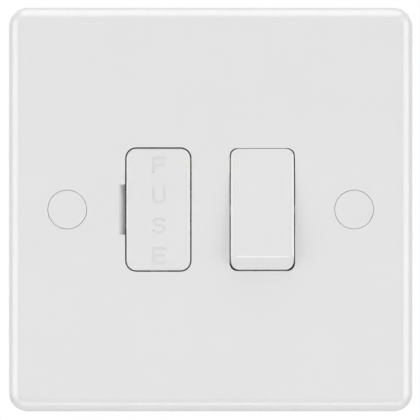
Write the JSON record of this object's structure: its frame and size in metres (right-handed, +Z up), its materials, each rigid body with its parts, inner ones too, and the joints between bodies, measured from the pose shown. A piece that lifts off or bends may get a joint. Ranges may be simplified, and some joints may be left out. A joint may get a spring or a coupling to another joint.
{
  "type": "switched fused connection unit",
  "caption": "White switched fused spur unit: square plate with a pull-out fuse carrier, a rocker switch, two capped fixing screws and a dark rear housing.",
  "frame": {"origin": "on the wall plane, midway between the two fixing screws", "axes": "+X right and +Z up as seen from the room, +Y into the wall"},
  "size_m": [0.085, 0.0314, 0.085],
  "materials": {
    "white_plastic": "gloss moulded",
    "dark_plastic": "moulded",
    "nylon": "moulded",
    "spring_steel": "drawn",
    "zinc_steel": "plated",
    "brass": "rolled",
    "silver": "satin",
    "ceramic": "satin",
    "nickel": "plated"
  },
  "bodies": {
    "base": {"front_plate": "white_plastic", "screw_cap_left": "white_plastic", "screw_cap_right": "white_plastic", "rear_housing": "dark_plastic", "housing_screws": "zinc_steel", "fixing_screws": "zinc_steel", "terminal_screws": "zinc_steel", "terminal_live_supply": "brass", "terminal_neutral_supply": "brass", "terminal_live_load": "brass", "terminal_neutral_load": "brass", "terminal_earth": "brass", "fuse_clip_upper": "brass", "fuse_clip_lower": "brass", "fixed_contact_neutral": "brass", "contact_bracket_live": "brass", "contact_bracket_neutral": "brass", "fixed_rivets": "silver"},
    "rocker": {"rocker": "white_plastic", "plunger_spring_live": "spring_steel", "plunger_spring_neutral": "spring_steel"},
    "plunger_live": {"plunger_live": "nylon"},
    "plunger_neutral": {"plunger_neutral": "nylon"},
    "contact_arm_live": {"moving_contact_live": "brass", "moving_rivet_live": "silver"},
    "contact_arm_neutral": {"moving_contact_neutral": "brass", "moving_rivet_neutral": "silver"},
    "fuse_drawer": {"fuse_carrier": "white_plastic", "fuse_barrel": "ceramic", "fuse_caps": "nickel"}
  },
  "joints": [
    {"name": "rocker_pivot", "type": "hinge", "parent": "base", "child": "rocker", "pos_m": [0.01085, -0.0065, 0], "axis": [1, 0, 0], "range_deg": [0, 12]},
    {"name": "fuse_drawer_slide", "type": "slide", "parent": "base", "child": "fuse_drawer", "axis": [0, -1, 0], "range_m": [0, 0.016]},
    {"name": "contact_pivot_live", "type": "hinge", "parent": "base", "child": "contact_arm_live", "pos_m": [0.00755, 0.0069, 0], "axis": [1, 0, 0], "range_deg": [-18, 0]},
    {"name": "plunger_slide_live", "type": "slide", "parent": "rocker", "child": "plunger_live", "axis": [0, -0.9945, 0.1045], "range_m": [0, 0.0008], "stiffness_N_per_m": 400, "springref_m": -0.003, "deforming": ["plunger_spring_live"]},
    {"name": "contact_pivot_neutral", "type": "hinge", "parent": "base", "child": "contact_arm_neutral", "pos_m": [0.01415, 0.0069, 0], "axis": [1, 0, 0], "range_deg": [-18, 0]},
    {"name": "plunger_slide_neutral", "type": "slide", "parent": "rocker", "child": "plunger_neutral", "axis": [0, -0.9945, 0.1045], "range_m": [0, 0.0008], "stiffness_N_per_m": 400, "springref_m": -0.003, "deforming": ["plunger_spring_neutral"]}
  ],
  "couplings": [
    {"joint": "contact_pivot_live", "follows": "rocker_pivot", "ratio": -1.5},
    {"joint": "contact_pivot_neutral", "follows": "rocker_pivot", "ratio": -1.5}
  ]
}
